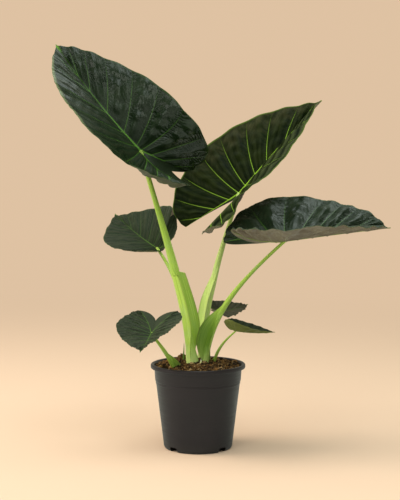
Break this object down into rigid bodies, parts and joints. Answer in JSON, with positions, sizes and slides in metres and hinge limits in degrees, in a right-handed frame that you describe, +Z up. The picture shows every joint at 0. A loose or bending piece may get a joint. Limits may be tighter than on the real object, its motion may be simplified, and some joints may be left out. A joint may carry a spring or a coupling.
{
  "type": "potted alocasia",
  "caption": "Large-leaved alocasia with dark puckered blades on green sheathed stalks, standing in bark soil in a round tapered nursery pot.",
  "frame": {"origin": "centre of the pot's flat base, on the surface that it stands on", "axes": "+Z up, along the pot's own axis and the plant's height; +X to the right and -Y towards the viewer of the front, with the largest leaf at the upper left"},
  "size_m": [0.7422, 0.4766, 0.8941],
  "materials": {
    "pot": "satin",
    "soil": "matte",
    "crown": "satin",
    "shoot": "satin",
    "stalk": "satin",
    "blade": "gloss",
    "young_blade": "satin"
  },
  "bodies": {
    "root": {"pot": "pot", "soil": "soil", "crown": "crown", "shoot_left": "shoot", "shoot_right": "shoot", "stalk_upper_left": "stalk", "stalk_upper_right": "stalk", "stalk_right": "stalk", "stalk_middle_left": "stalk", "stalk_lower_left": "stalk", "stalk_small_back": "stalk", "stalk_small_front": "stalk", "blade_upper_left": "blade", "blade_upper_right": "blade", "blade_right": "blade", "blade_middle_left": "young_blade", "blade_lower_left": "young_blade", "blade_small_back": "young_blade", "blade_small_front": "young_blade"}
  },
  "joints": []
}
